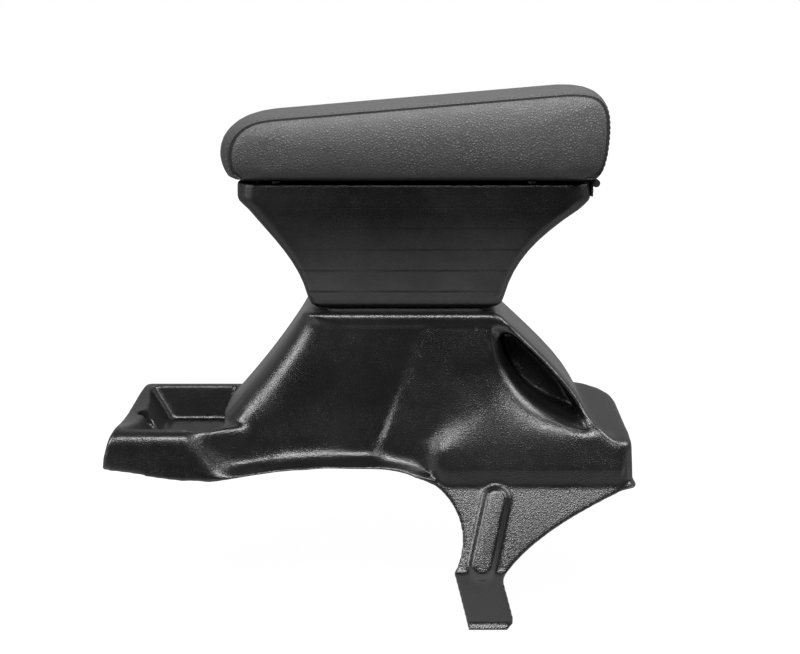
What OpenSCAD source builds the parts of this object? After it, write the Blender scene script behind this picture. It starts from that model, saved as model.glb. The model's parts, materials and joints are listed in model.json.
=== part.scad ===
// Car centre armrest: a formed base that straddles the tunnel between the seats, a storage
// box bolted on its neck, and a padded lid hinged at the back of the box.
// X runs to the rear of the car, -Y is the side with the leg, Z is up.
// Z = 0 is the crease where the lower side wall turns out into the leg.

/* [Formed sheet] */
// Thickness of the sheet that the base is formed from
sheet_t = 3.6; // [3:0.1:4.4]
// Slope of the shelf's top towards the far side, in mm per mm
shelf_tilt = 0.1; // [0:0.005:0.1]

/* [Neck] */
// Height of the neck's flat top
neck_h = 150.5; // [135:1:160]
// Reach of the neck's top in front of the origin
neck_top_front = 85.8; // [80:0.2:92]
// Reach of the neck's top behind the origin
neck_top_rear = 87.5; // [84:0.5:96]
// Half width of the side panels at the top
neck_top_half = 61; // [59:0.5:64]
// Half width of the side panels at the foot
neck_foot_half = 71; // [67:0.5:74]
// Half width of the raised middle panel at its foot
mid_foot_half = 81; // [78:0.5:84]
// Reach of the neck's foot in front of the origin
neck_foot_front = 165; // [160:1:168]
// Reach of the neck's foot behind the origin
neck_foot_rear = 177; // [172:1:182]
// Height of the collar round the neck's top
collar_h = 10; // [7:0.5:14]
// How far the collar stands out from the panels
collar_out = 1.8; // [1:0.1:2.5]

/* [Tray] */
// Reach of the tray in front of the origin
tray_front = 264; // [250:1:275]
// Height of the tray's rim
tray_h = 49; // [46:1:53]
// Half width of the tray
tray_half = 86.5; // [82:0.5:90]
// Height of the tray's floor
tray_floor_z = 17; // [15:0.5:20]
// Depth of the dip in the tray's front rim
rim_dip = 9; // [5:0.5:11]
// Radius of the well for the fixing screw
well_r = 8.5; // [7.5:0.5:10]
// Height of the well's flat floor
well_z = 24; // [21:0.5:26]

/* [Shelf and lower wall] */
// Reach of the rear shelf behind the origin
shelf_rear = 208; // [202:1:214]
// Height of the shelf at its near edge
shelf_h = 39; // [36:0.5:42]
// Half width of the lower wall at the crease
crease_half = 88.5; // [86:0.5:91]
// Half width of the far side at the shelf
shelf_far_half = 83; // [80:0.5:86]
// Plan radius of the shelf's far rear corner
shelf_far_r = 56; // [45:1:62]

/* [Side pocket] */
// How deep the side pocket runs into the neck
pocket_depth = 44; // [30:1:50]
// Size of the pocket's floor against its mouth
pocket_draft = 0.8; // [0.7:0.01:0.88]

/* [Leg] */
// Lean of the leg's upper sheet from the vertical, in degrees
leg_flare = 25; // [18:1:30]
// Depth of the fold between the leaning sheet and the upright tab
fold_drop = 70; // [62:1:76]
// Length of the upright tab
tab_len = 50; // [42:1:60]
// Height of the stiffening bead
bead_out = 6; // [4:0.5:8]

/* [Box] */
// Thickness of the spacer between neck and box
spacer_t = 2; // [1.5:0.5:6]
// Height of the box
box_h = 112.5; // [100:0.5:120]
// Reach of the box's mouth in front of the origin
box_top_front = 143.5; // [138:0.5:146]
// Reach of the box's mouth behind the origin
box_top_rear = 168; // [164:0.5:171]
// Reach of the box's foot in front of the origin
box_foot_front = 82.5; // [79:0.5:88]
// Reach of the box's foot behind the origin
box_foot_rear = 93; // [90:0.5:98]
// Half width of the box's mouth
box_top_half = 60; // [57:0.5:62]
// Half width of the box's foot
box_foot_half = 56.5; // [54:0.5:58]
// Wall of the box
box_wall = 3; // [2.2:0.1:3.5]
// Floor of the box
box_floor = 3.5; // [2.5:0.1:5]
// Thickness of the mat on the box's floor
mat_t = 2; // [1:0.1:3]

/* [Fixings] */
// Spacing of the box's bolts along X
bolt_dx = 100; // [90:1:108]
// Spacing of the box's bolts along Y
bolt_dy = 60; // [50:1:66]
// Radius of the box's bolts
bolt_r = 3; // [2.5:0.1:3.5]
// Thickness of the board under the neck's top
stiffener_t = 9; // [6:0.5:12]
// Shank radius of the front fixing screw
fixing_r = 2.5; // [2:0.1:3]
// Shank length of the front fixing screw
fixing_len = 28; // [22:1:34]

/* [Hinge and catch] */
// Length of the hinge along the box's rear edge
hinge_len = 90; // [75:1:100]
// Radius of the hinge pin
pin_r = 2; // [1.6:0.1:2.2]
// Radial clearance of the pin in its knuckles
pin_gap = 0.05; // [0.03:0.01:0.08]
// Wall of the knuckles
knuckle_wall = 1.45; // [1.2:0.05:1.6]
// Thickness of the hinge leaves
leaf_t = 1.5; // [1.2:0.1:1.8]
// Width of the catch's magnet
magnet_w = 22; // [16:1:24]

/* [Lid] */
// How far the lid's seam reaches past the box's mouth at the front
lid_over_front = 3.9; // [1:0.1:6]
// How far the lid's seam reaches past the box's mouth at the rear
lid_over_rear = 11.4; // [9:0.1:14]
// Height of the seam above the lid's underside at the nose
lid_nose_h = 51; // [46:0.5:56]
// Height of the seam above the lid's underside at the rear
lid_rear_h = 72.4; // [66:0.2:78]
// Half width of the lid at its seams
seam_half = 66; // [64:0.5:69]
// How far the side panels swell past the seams
side_swell = 8; // [4:0.5:10]
// How far the top swells between the seams
top_crown = 6.5; // [4:0.5:9]
// How far the nose swells between the seams
nose_crown = 14; // [12:0.5:18]
// How far the rear end swells between the seams
rear_crown = 5; // [3:0.5:8]
// Thickness of the cover
cover_t = 1.4; // [1:0.1:1.8]
// Thickness of the board inside the lid
board_t = 8; // [6:0.5:10]
// Thickness of the lining under the lid
lining_t = 1; // [0.8:0.1:1.4]

/* [Hidden] */

$fn = 48;
arc_steps = 5;
below = 30;
bite = 0.5;
soft_gap = 0.3;
hole_gap = 0.3;
shell_colour = "#1d1d1f";
cover_colour = "#6a6a6b";
steel = "#a9abad";

// General helpers

function lerp(a, b, t) = a + (b - a) * t;
function bez(p, t) = pow(1 - t, 3) * p[0] + 3 * t * pow(1 - t, 2) * p[1]
    + 3 * t * t * (1 - t) * p[2] + pow(t, 3) * p[3];
function curve(p, n, first = 0) = [for (i = [first:n]) bez(p, i / n)];
function reversed(v) = [for (i = [len(v) - 1:-1:0]) v[i]];
function arc(cx, cy, r, a0) = [for (i = [0:arc_steps])
    let (a = a0 + 90 * i / arc_steps) [cx + r * cos(a), cy + r * sin(a)]];

// A plan section is [z, front x, rear x, near half, far half, front radius, near rear radius,
// far rear radius, tilt], and g draws every side in by the same amount.
function plan(s, g) = let (x0 = s[1] + g, x1 = s[2] - g, yn = g - s[3], yf = s[4] - g,
        rf = max(s[5] - g, 1), rn = max(s[6] - g, 1), rr = max(s[7] - g, 1))
    concat(arc(x1 - rn, yn + rn, rn, 270), arc(x1 - rr, yf - rr, rr, 0),
        arc(x0 + rf, yf - rf, rf, 90), arc(x0 + rf, yn + rf, rf, 180));
function section(s, g, top) = let (tilt = is_undef(s[8]) ? 0 : s[8])
    [for (p = plan(s, g)) [p[0], p[1], min(s[0], top) + tilt * (p[1] + crease_half)]];

// Skin through a row of closed rings, each counter-clockwise seen from the last one
function middle_of(ring) = [for (p = ring) 1] * ring / len(ring);
module loft(rings) {
    n = len(rings[0]);
    last = (len(rings) - 1) * n;
    centre = last + n;
    sides = [for (k = [0:len(rings) - 2], i = [0:n - 1])
        let (a = k * n + i, b = k * n + (i + 1) % n) each [[a, a + n, b + n], [a, b + n, b]]];
    caps = [for (i = [0:n - 1]) let (j = (i + 1) % n)
        each [[centre, i, j], [centre + 1, last + j, last + i]]];
    polyhedron(points = concat([for (r = rings) each r],
        [middle_of(rings[0]), middle_of(rings[len(rings) - 1])]), faces = concat(sides, caps));
}

// Closed slab between an outer and an inner grid of points
module slab(outer, inner) {
    rows = len(outer);
    cols = len(outer[0]);
    total = rows * cols;
    function at(i, j) = i * cols + j;
    function quad(a, b, c, d) = [[a, b, c], [a, c, d]];
    skin = [for (i = [0:rows - 2], j = [0:cols - 2])
        each quad(at(i, j), at(i, j + 1), at(i + 1, j + 1), at(i + 1, j))];
    back = [for (i = [0:rows - 2], j = [0:cols - 2])
        each quad(total + at(i, j), total + at(i + 1, j), total + at(i + 1, j + 1),
            total + at(i, j + 1))];
    ends = [for (j = [0:cols - 2], e = [0, rows - 1]) let (a = at(e, j), b = at(e, j + 1))
        each e == 0 ? quad(a, total + a, total + b, b) : quad(a, b, total + b, total + a)];
    edges = [for (i = [0:rows - 2], e = [0, cols - 1]) let (a = at(i, e), b = at(i + 1, e))
        each e == 0 ? quad(a, b, total + b, total + a) : quad(a, total + a, total + b, b)];
    polyhedron(points = concat([for (r = outer) each r], [for (r = inner) each r]),
        faces = concat(skin, back, ends, edges));
}

// Plate lying flat with rounded corners, from x0 to x1
module plate(x0, x1, half, t, r) {
    linear_extrude(height = t) {
        translate([x0 + r, -half]) square([x1 - x0 - 2 * r, 2 * half]);
        translate([x0, r - half]) square([x1 - x0, 2 * (half - r)]);
        for (x = [x0 + r, x1 - r], y = [r - half, half - r]) translate([x, y]) circle(r = r);
    }
}

// Profile in X and Z, drawn through from the near side y0 to the far side y1
module across(y0, y1) {
    translate([0, y1, 0]) rotate([90, 0, 0]) linear_extrude(height = y1 - y0) children();
}

module bar_y(r, y0, y1) {
    translate([0, y0, 0]) rotate([-90, 0, 0]) cylinder(r = r, h = y1 - y0);
}

// Base: neck

collar_z = neck_h - collar_h;
collar_step = 2.5;
top_round = 3;
front_lean = 0.62;
front_sweep = 0.0016;
front_r_top = 14;
front_r_mid = 30;
front_r_foot = 46;
ridge_r = 7;
sweep_top = 34;
sweep_foot = 42;
neck_steps = 8;
neck_rear_curve = [[neck_foot_rear, shelf_h], [neck_foot_rear - 9, shelf_h + sweep_foot],
    [neck_top_rear + sweep_top, neck_h - sweep_top], [neck_top_rear, neck_h]];
neck_rear_end = 0.87;

function neck_front(z) = max(-neck_foot_front,
    -neck_top_front - front_lean * (neck_h - z) - front_sweep * pow(neck_h - z, 2));
function neck_rear(z) = neck_top_rear + neck_h - z;
function panel_half(z, foot) = lerp(foot, neck_top_half, max(z, 0) / neck_h);
function front_r(z) = z > collar_z ? lerp(front_r_mid, front_r_top, (z - collar_z) / collar_h)
    : lerp(front_r_foot, front_r_mid, max(z, 0) / collar_z);
function neck_station(z, x1, half, d = 0) =
    [z, neck_front(z) + d, x1 - d, half - d, half - d, front_r(z), ridge_r, ridge_r];
neck_stations = concat(
    [neck_station(-below, neck_foot_rear, neck_foot_half)],
    [for (i = [0:neck_steps]) let (p = bez(neck_rear_curve, neck_rear_end * i / neck_steps))
        neck_station(p[1], p[0], panel_half(p[1], neck_foot_half))],
    [neck_station(collar_z, neck_rear(collar_z), neck_top_half + collar_out),
    neck_station(neck_h - top_round, neck_rear(neck_h - top_round), neck_top_half + collar_out),
    neck_station(neck_h - top_round * 0.3, neck_rear(neck_h), neck_top_half + collar_out,
        top_round * 0.3),
    neck_station(neck_h, neck_rear(neck_h), neck_top_half + collar_out, top_round)]);

module neck_form(g) {
    loft([for (s = neck_stations) section(s, g, neck_h - g)]);
}

// The raised middle panel starts on a line that slants forward and down
mid_line_top = 16;
mid_line_lean = 0.34;
mid_back = 10;
mid_r = 10;
function mid_line(z) = mid_line_top - mid_line_lean * (neck_h - collar_h - z);
mid_stations = concat(
    [[-below, mid_line(-below), neck_foot_rear, mid_foot_half, -mid_back, mid_r, ridge_r, 3]],
    [for (i = [0:neck_steps]) let (p = bez(neck_rear_curve, neck_rear_end * i / neck_steps))
        [p[1], mid_line(p[1]), p[0], panel_half(p[1], mid_foot_half), -mid_back, mid_r, ridge_r,
            3]]);

module mid_panel_form(g) {
    loft([for (s = mid_stations) section(s, g, neck_h - g)]);
}

// Base: lower rear wall and shelf

shelf_roll = 4.5;
lip_out = 3.5;
shelf_inside = 100;
near_rear_r = 14;
function shelf_station(z, d, near, far, tilt) = [z, shelf_inside, shelf_rear + d, near, far,
    6, near_rear_r, shelf_far_r, tilt];
shelf_edge_half = crease_half - 4;
shelf_stations = [
    shelf_station(-below, lip_out, crease_half, shelf_far_half + lip_out, 0),
    shelf_station(-2, lip_out, crease_half, shelf_far_half + lip_out, 0),
    shelf_station(3, 0, crease_half, shelf_far_half + 1, 0),
    shelf_station(20, -0.5, crease_half - 2, shelf_far_half + 0.5, 0),
    shelf_station(shelf_h - shelf_roll, -1, shelf_edge_half, shelf_far_half, shelf_tilt),
    shelf_station(shelf_h - shelf_roll * 0.3, -2.4, shelf_edge_half - 1.4,
        shelf_far_half - 1.4, shelf_tilt),
    shelf_station(shelf_h, -1 - shelf_roll, shelf_edge_half - shelf_roll,
        shelf_far_half - shelf_roll, shelf_tilt)];

module shelf_form(g) {
    loft([for (s = shelf_stations) section(s, g, shelf_h - g)]);
}

// Block at the foot of the near wall, above the leg, with sloping front and top faces
block_rear = 196;
block_steps = [[41, block_rear, 0, 16], [27, block_rear, 4, 35], [57, 164, 6.2, 44],
    [76, 154, 10.8, 60], [90, 142, 17, 80]];
module lower_block_form(g) {
    hull() for (s = block_steps) translate([s[0] + g, g - crease_half + s[2], -below])
        cube([s[1] - s[0] - 2 * g, 20, below + s[3] - g]);
}

// Base: tray

tray_r = 10;
tray_roll = 9;
rim_tilt = 0.009;
function tray_rear(z) = lerp(-124, -140, z / tray_h);
function tray_station(z, d, near, far, tilt = 0) = [z, d - tray_front, tray_rear(z),
    tray_half - near, tray_half - far, 4, tray_r, tray_r, tilt];
tray_stations = [
    tray_station(-below, 4, -3.5, -3.5),
    tray_station(-2, 3.5, -3.5, -3.5),
    tray_station(8, 1, -2, -2),
    tray_station(15, 0, 0, 0),
    tray_station(24, 1, 0.5, 0.5),
    tray_station(tray_h - tray_roll - 3, 4.5, 1.5, 1, rim_tilt),
    tray_station(tray_h - tray_roll * 0.6, 7, 4, 1.5, rim_tilt),
    tray_station(tray_h - tray_roll * 0.2, 9.5, 9, 2.5, rim_tilt),
    tray_station(tray_h, 12, 14, 4, rim_tilt)];

module tray_form(g) {
    loft([for (s = tray_stations) section(s, g, tray_h - g)]);
}

// The tray's near wall ends in a scoop that runs down to the lower edge
scoop_ridge = [[75 - tray_front, 7 - tray_half, tray_h - 2],
    [99 - tray_front, -tray_half - 4, 3]];
scoop_back = [[131 - tray_front, 20.5 - tray_half, tray_h + 3],
    [133 - tray_front, 17.5 - tray_half, 4]];
module chin_scoop(g) {
    hull() for (p = concat(scoop_ridge, scoop_back)) {
        translate(p + [0, 1.08 * g, 0]) cube(0.1);
        translate([p[0] + 5, -tray_half - 30, p[2] + 8]) cube([12, 1, 12]);
    }
}

recess_front_top = 14.5;
recess_front_foot = 35;
recess_rear_top = 160;
recess_rear_foot = 165;
recess_half_top = tray_half - 13;
recess_draft = 5;
module recess_slice(z, x0, x1, half, g) {
    translate([0, 0, z]) linear_extrude(height = 0.1) hull() {
        for (c = [[x0, 8, 1], [x1, 8, 1], [x0, 8, -1], [x1, 15, -1]])
            translate([c[0] + (c[0] == x0 ? c[1] : -c[1]), c[2] * (half - c[1])])
                circle(r = c[1] + g, $fn = 24);
    }
}
module tray_recess(g) {
    hull() {
        recess_slice(tray_h + 2, recess_front_top - tray_front, -recess_rear_top,
            recess_half_top, g);
        recess_slice(tray_floor_z - g, recess_front_foot - tray_front, -recess_rear_foot,
            recess_half_top - recess_draft, g);
    }
}

well_x = 23 - tray_front;
well_y = 12;
module screw_well(g) {
    translate([well_x, well_y, well_z - g]) cylinder(r = well_r + g, h = tray_h, $fn = 32);
}

shoulder_r = fixing_r + 0.9;
shoulder_len = sheet_t + 1.4;

dip_half = 66;
dip_radius = (dip_half * dip_half + rim_dip * rim_dip) / (2 * rim_dip);
module front_dip(g) {
    translate([-tray_front - 10, 0, tray_h - rim_dip + dip_radius])
        rotate([0, 90, 0]) cylinder(r = dip_radius + g, h = 32, $fn = 96);
}

// Base: side pocket

pocket_left = [[neck_top_rear - 2.5, collar_z - 7], [neck_top_rear - 1, 95],
    [neck_top_rear + 29, shelf_h + 19], [neck_foot_rear - 8, shelf_h + 11]];
pocket_margin = 7;
pocket_mouth = concat(curve(pocket_left, 10), [for (i = [1:7])
    bez(neck_rear_curve, lerp(0.1, 0.84, i / 7)) - [pocket_margin, 1]]);
pocket_centre = [neck_top_rear + 41, 0.6 * neck_h];
pocket_hinge = [neck_top_rear + 47, 0.65 * neck_h];
pocket_flare = 1.13;
flare_depth = 6;
panel_lean = (mid_foot_half - neck_top_half) / neck_h;
pocket_face = -panel_half(pocket_centre[1], mid_foot_half);
module pocket_slice(y, about, scale_by, g) {
    multmatrix([[1, 0, 0, 0], [0, 1, panel_lean, -panel_lean * pocket_centre[1]], [0, 0, 1, 0],
        [0, 0, 0, 1]]) across(y, y + 0.1) offset(delta = g)
            polygon([for (p = pocket_mouth) about + scale_by * (p - about)]);
}

// Blind leaf-shaped pocket with drafted walls and a flared lip along its lower side
module side_pocket(g) {
    hull() {
        pocket_slice(pocket_face - 12, pocket_hinge, 1.02, g);
        pocket_slice(pocket_face + pocket_depth + g, pocket_centre, pocket_draft, g);
    }
    hull() {
        pocket_slice(pocket_face - 4, pocket_hinge, pocket_flare + 0.06, g);
        pocket_slice(pocket_face + flare_depth, pocket_hinge, 1, g);
    }
}

// Base: lower edge, ledges and leg

arch_h = 13;
edge_curve = concat(
    [[-300, 18], [12 - tray_front, 11]],
    curve([[-170, -0.7], [-150, 3.5], [-105, arch_h - 1], [-60, arch_h]], 8),
    curve([[-28, arch_h], [0, arch_h], [18, 8], [38, -4]], 8));
module lower_edge_cut() {
    across(-200, 200) polygon(concat([[-300, -80]], edge_curve, [[300, -4], [300, -80]]));
}

ledge_from = -172;
ledge_to = 36;
ledge_drop = 5;
ledge_slope = 0.12;
ledge_band = [for (p = edge_curve) if (p[0] > ledge_from && p[0] < ledge_to) p];
module band(rise, t) {
    polygon(concat([for (p = ledge_band) p + [0, rise]],
        [for (p = reversed(ledge_band)) p + [0, rise + t]]));
}

// The near wall turns out into a sloping ledge with a short lip along its edge
module ledge() {
    across(-crease_half, sheet_t - crease_half) band(0, ledge_drop);
    multmatrix([[1, 0, 0, 0], [0, 1, 0, 0], [0, ledge_slope, 1, ledge_slope * crease_half],
        [0, 0, 0, 1]]) across(-crease_half, 4 - neck_foot_half) band(ledge_drop - sheet_t, sheet_t);
}

leg_run = fold_drop / cos(leg_flare);
fold_y = -crease_half - fold_drop * tan(leg_flare);
tab_front = 47;
tab_rear = 92;
tab_lean = 13;
foot_r = 8;
leg_front_edge = [[30, 2], [58, -0.26 * leg_run], [60, -0.66 * leg_run], [tab_front, -leg_run]];
leg_rear_edge = [[tab_rear, -leg_run], [118, -0.54 * leg_run], [170, -0.21 * leg_run],
    [shelf_rear + 1, 2]];
bead_top = [85, -11];
bead_foot = [71.5, -0.9 * leg_run];
bead_r = 13;

// Places children on the leaning sheet: x along the car, y up the slope, z out of its face
module on_leg() {
    translate([0, -crease_half, 0]) rotate([90 - leg_flare, 0, 0]) children();
}
module bead(lift) {
    hull() {
        for (p = [bead_top, bead_foot]) translate([p[0], p[1], lift - 0.01])
            cylinder(r1 = bead_r, r2 = bead_r * 0.6, h = bead_out, $fn = 32);
    }
}
module leg() {
    difference() {
        union() {
            on_leg() translate([0, 0, -sheet_t]) linear_extrude(height = sheet_t)
                polygon(concat(curve(leg_front_edge, 10), curve(leg_rear_edge, 10)));
            on_leg() bead(0);
        }
        on_leg() bead(-sheet_t);
    }
    across(fold_y, fold_y + sheet_t) polygon([[tab_front, -fold_drop + 2],
        [tab_rear, -fold_drop + 2], [tab_rear - 1, -fold_drop - 8],
        [tab_rear + tab_lean - 5, -fold_drop - tab_len + foot_r],
        [tab_rear + tab_lean - 5 - foot_r * 0.3, -fold_drop - tab_len + foot_r * 0.3],
        [tab_rear + tab_lean - 5 - foot_r, -fold_drop - tab_len],
        [tab_front + tab_lean, -fold_drop - tab_len]]);
    hull() {
        translate([tab_front + tab_lean - 1.5, fold_y, 5 - fold_drop - tab_len])
            cube([tab_rear - tab_front - 3, sheet_t, 0.1]);
        translate([tab_front + tab_lean, fold_y - 4, -fold_drop - tab_len])
            cube([tab_rear - tab_front - foot_r - 2, sheet_t, 0.1]);
    }
}

bolt_x = 6;
module at_bolts() {
    for (x = [-1, 1], y = [-1, 1])
        translate([bolt_x + x * bolt_dx / 2, y * bolt_dy / 2, 0]) children();
}

module base_form(g) {
    difference() {
        union() {
            neck_form(g);
            mid_panel_form(g);
            shelf_form(g);
            lower_block_form(g);
            difference() {
                tray_form(g);
                chin_scoop(g);
            }
        }
        tray_recess(g);
        screw_well(g);
        front_dip(g);
        side_pocket(g);
    }
}

module base_shell() {
    color(shell_colour) {
        difference() {
            base_form(0);
            base_form(sheet_t);
            lower_edge_cut();
            at_bolts() translate([0, 0, neck_h - sheet_t - 1])
                cylinder(r = bolt_r + hole_gap, h = sheet_t + 2, $fn = 20);
            translate([well_x, well_y, well_z - sheet_t - 1])
                cylinder(r = shoulder_r + hole_gap, h = sheet_t + 2, $fn = 20);
        }
        ledge();
        mirror([0, 1, 0]) ledge();
        leg();
    }
}

// Fixings between base, tunnel and box

module front_fixing_screw() {
    color(steel) translate([well_x, well_y, well_z]) {
        difference() {
            union() {
                cylinder(r = fixing_r * 2.6, h = 1.2);
                translate([0, 0, 1.2]) cylinder(r1 = fixing_r * 1.9, r2 = fixing_r * 1.5, h = 2.4);
            }
            translate([0, 0, 1.4]) cylinder(r = fixing_r * 0.8, h = 4, $fn = 6);
        }
        translate([0, 0, -shoulder_len]) cylinder(r = shoulder_r, h = shoulder_len + 0.5);
        translate([0, 0, -fixing_len]) cylinder(r = fixing_r, h = fixing_len + 0.5);
    }
}

spacer_inset = 16;
module neck_stiffener() {
    color("tan") translate([0, 0, neck_h - sheet_t - stiffener_t]) difference() {
        plate(10 - neck_top_front, neck_top_rear - 9, neck_top_half - 14, stiffener_t, 8);
        at_bolts() translate([0, 0, -1]) cylinder(r = bolt_r + hole_gap, h = stiffener_t + 2);
    }
}

module box_spacer() {
    color("#161616") translate([0, 0, neck_h]) difference() {
        plate(spacer_inset - box_foot_front, box_foot_rear - spacer_inset,
            box_foot_half - spacer_inset + 8, spacer_t, 8);
        at_bolts() translate([0, 0, -1]) cylinder(r = bolt_r + hole_gap, h = spacer_t + 2);
    }
}

// Box

box_z = neck_h + spacer_t;
box_top = box_z + box_h;
foot_round = 12;
band_h = 14;
band_round = 10;
flare_top = box_top - band_h - band_round;
flare_foot = box_z + foot_round;
flare_rise = flare_top - flare_foot;
band_in = 9.5;
corner_top = 24;
corner_foot = 10;

// Front and rear profiles from the foot up to the upright band at the mouth
flare_front = [[-box_foot_front, flare_foot], [-box_foot_front - 7.5, flare_foot + 0.4 * flare_rise],
    [-box_top_front + 31, flare_foot + 0.67 * flare_rise], [-box_top_front + band_in, flare_top]];
flare_rear = [[box_foot_rear, flare_foot], [box_foot_rear + 8, flare_foot + 0.4 * flare_rise],
    [box_top_rear - 48, flare_foot + 0.67 * flare_rise], [box_top_rear - band_in, flare_top]];
band_front = [[-box_top_front + band_in, flare_top], [-box_top_front + 4.5, flare_top + 5],
    [-box_top_front, flare_top + 7], [-box_top_front, box_top - band_h + 1]];
band_rear = [[box_top_rear - band_in, flare_top], [box_top_rear - 4.5, flare_top + 5],
    [box_top_rear, flare_top + 7], [box_top_rear, box_top - band_h + 1]];

function box_station(front, rear, d = 0) = let (k = (front[1] - box_z) / box_h,
        half = lerp(box_foot_half, box_top_half, k) - d, r = lerp(corner_foot, corner_top, k * k))
    [front[1], front[0] + d, rear[0] - d, half, half, r, r, r];
function foot_station(k) = let (a = 90 * k, d = foot_round * (1 - sin(a)))
    box_station([-box_foot_front, flare_foot - foot_round * cos(a)],
        [box_foot_rear, flare_foot - foot_round * cos(a)], d);
function box_stations(flare_steps) = concat(
    [for (k = [0, 0.3, 0.6]) foot_station(k)],
    [for (i = [0:flare_steps]) box_station(bez(flare_front, i / flare_steps),
        bez(flare_rear, i / flare_steps))],
    [for (t = [0.35, 0.7, 1]) box_station(bez(band_front, t), bez(band_rear, t))],
    [box_station([-box_top_front, box_top], [box_top_rear, box_top])]);
outer_stations = box_stations(8);
inner_stations = [for (s = outer_stations) if (s[0] >= box_z + box_floor) s];
inner_foot = foot_station(0.45);

leaf_drop = 13;
leaf_screws = [-34, 0, 34];
leaf_screw_z = box_top - 8.5;
catch_screw_y = 19;
catch_screw_z = box_top - 7;
screw_r = 1.6;
catch_bite = 0.5;

module box_shell() {
    outer = [for (s = outer_stations) section(s, 0, box_top)];
    floor_ring = [for (p = section(inner_foot, box_wall, box_top)) [p[0], p[1], box_z + box_floor]];
    inner = concat([floor_ring], [for (s = inner_stations) section(s, box_wall, box_top)]);
    color(shell_colour) difference() {
        loft(concat(outer, reversed(inner)));
        at_bolts() translate([0, 0, box_z - 1]) cylinder(r = bolt_r + hole_gap, h = box_floor + 2);
        for (y = leaf_screws) translate([box_top_rear - box_wall - 1, y, leaf_screw_z])
            rotate([0, 90, 0]) cylinder(r = screw_r + 0.05, h = box_wall + 2);
        for (y = [-1, 1]) translate([catch_bite - box_top_front, y * catch_screw_y, catch_screw_z])
            rotate([0, 90, 0]) cylinder(r = screw_r + 0.05, h = box_wall + 2);
    }
}

washer_r = 2.2 * bolt_r;
washer_t = 1.6;
module box_floor_mat() {
    color("#2a2a2c") translate([0, 0, box_z + box_floor]) difference() {
        plate(foot_round - box_foot_front, box_foot_rear - foot_round,
            box_foot_half - foot_round, mat_t, 8);
        at_bolts() translate([0, 0, -1]) cylinder(r = washer_r + 2, h = mat_t + 2);
    }
}

stack_foot = neck_h - sheet_t - stiffener_t;
nut_h = 1.6 * bolt_r;
module box_bolts() {
    color(steel) at_bolts() {
        translate([0, 0, box_z + box_floor + washer_t]) cylinder(r = 1.7 * bolt_r, h = 1.1 * bolt_r, $fn = 6);
        translate([0, 0, stack_foot - washer_t - nut_h - 3])
            cylinder(r = bolt_r, h = box_z + box_floor + washer_t + 3 + nut_h + washer_t
                - stack_foot + 0.5);
    }
}
module washer() {
    difference() {
        cylinder(r = washer_r, h = washer_t);
        translate([0, 0, -1]) cylinder(r = bolt_r + 0.2, h = washer_t + 2);
    }
}
module box_washers() {
    color(steel) at_bolts() {
        translate([0, 0, box_z + box_floor]) washer();
        translate([0, 0, stack_foot - washer_t]) washer();
    }
}
module box_nuts() {
    color(steel) at_bolts() translate([0, 0, stack_foot - washer_t - nut_h]) difference() {
        cylinder(r = 1.85 * bolt_r, h = nut_h, $fn = 6);
        translate([0, 0, -1]) cylinder(r = bolt_r + 0.05, h = nut_h + 2);
    }
}

// Hinge: knuckles 0, 2 and 4 belong to the box, 1 and 3 to the lid

knuckle_r = pin_r + pin_gap + knuckle_wall;
knuckle_gap = 0.4;
pin_x = box_top_rear + 0.5 + knuckle_r;
rim_gap = 0.6;
leaf_z = box_top + rim_gap;
pin_z = leaf_z + leaf_t - knuckle_r;
knuckle_len = hinge_len / 5;
lid_leaf_run = 25;
lid_screw_x = pin_x - 19;

function knuckle_y(k) = -hinge_len / 2 + k * knuckle_len;
module knuckles(list) {
    for (k = list) translate([pin_x, 0, pin_z])
        bar_y(knuckle_r, knuckle_y(k) + knuckle_gap / 2, knuckle_y(k + 1) - knuckle_gap / 2);
}
module knuckle_room(list) {
    for (k = list) translate([pin_x, 0, pin_z])
        bar_y(knuckle_r + knuckle_gap, knuckle_y(k) - knuckle_gap / 2,
            knuckle_y(k + 1) + knuckle_gap / 2);
}
module pin_bore() {
    translate([pin_x, 0, pin_z]) bar_y(pin_r + pin_gap, -hinge_len, hinge_len);
}
module hinge_box_leaf() {
    color(steel) difference() {
        union() {
            translate([box_top_rear, -hinge_len / 2, box_top - leaf_drop])
                cube([leaf_t, hinge_len, leaf_drop - box_top + pin_z]);
            knuckles([0, 2, 4]);
        }
        knuckle_room([1, 3]);
        pin_bore();
        for (y = leaf_screws) translate([box_top_rear - 1, y, leaf_screw_z])
            rotate([0, 90, 0]) cylinder(r = screw_r + 0.1, h = leaf_t + 2);
    }
}
module hinge_lid_leaf() {
    color(steel) difference() {
        union() {
            translate([pin_x - lid_leaf_run, -hinge_len / 2, leaf_z])
                cube([lid_leaf_run, hinge_len, leaf_t]);
            knuckles([1, 3]);
        }
        knuckle_room([0, 2, 4]);
        pin_bore();
        for (y = leaf_screws) translate([lid_screw_x, y, leaf_z - 1])
            cylinder(r = screw_r + 0.1, h = leaf_t + 2);
    }
}
module hinge_pin() {
    color(steel) translate([pin_x, 0, pin_z]) {
        bar_y(pin_r, -hinge_len / 2 - 0.5, hinge_len / 2 + 0.5);
        bar_y(pin_r * 1.4, -hinge_len / 2 - 2, -hinge_len / 2 - 0.3);
        bar_y(pin_r * 1.4, hinge_len / 2 + 0.3, hinge_len / 2 + 2);
    }
}

// Pan-head screw standing on z = 0 with its shank below
module small_screw(len) {
    cylinder(r = screw_r * 1.9, h = 1.3);
    translate([0, 0, -len]) cylinder(r = screw_r, h = len + 0.5);
}
module hinge_box_screws() {
    color(steel) for (y = leaf_screws) translate([box_top_rear + leaf_t, y, leaf_screw_z])
        rotate([0, 90, 0]) small_screw(leaf_t + box_wall + 1.5);
}
module hinge_lid_screws() {
    color(steel) for (y = leaf_screws) translate([lid_screw_x, y, leaf_z])
        rotate([180, 0, 0]) small_screw(leaf_t + lining_t + 7);
}

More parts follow.
